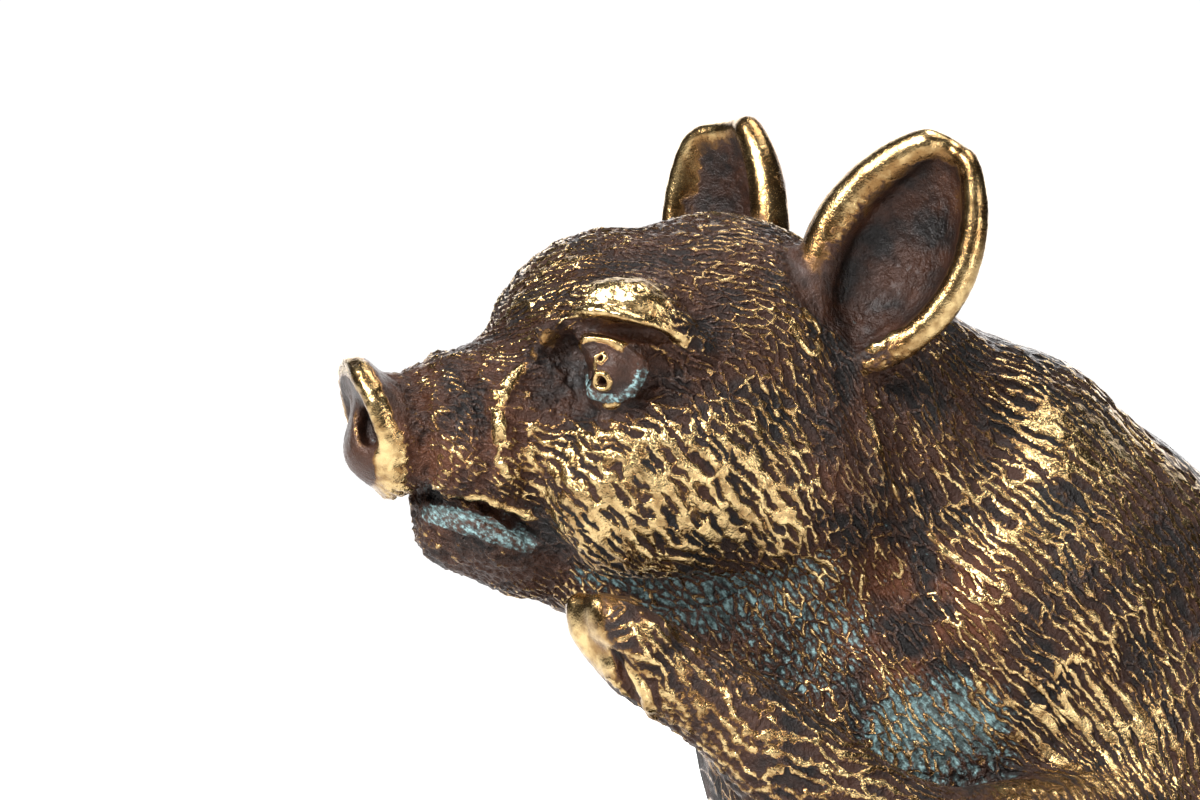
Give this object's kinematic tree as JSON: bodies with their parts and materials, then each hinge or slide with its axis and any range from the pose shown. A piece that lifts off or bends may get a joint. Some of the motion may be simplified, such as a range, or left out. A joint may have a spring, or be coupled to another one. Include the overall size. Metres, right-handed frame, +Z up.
{
  "type": "piglet sculpture",
  "caption": "Cast bronze piglet that sits and lifts one trotter, on a low moulded plinth.",
  "frame": {"origin": "middle of the plinth's underside", "axes": "+Z up, the piglet faces -Y, its left side is +X"},
  "size_m": [0.0474, 0.0798, 0.0832],
  "materials": {
    "bronze": "cast bronze, dark brown patina rubbed to bright gold on the raised fur, ear rims, brows and snout, with turquoise verdigris in the hollows",
    "plinth_bronze": "cast bronze, dark brown patina worn to gold along the edges"
  },
  "bodies": {
    "root": {"piglet": "bronze", "plinth": "plinth_bronze"}
  },
  "joints": []
}
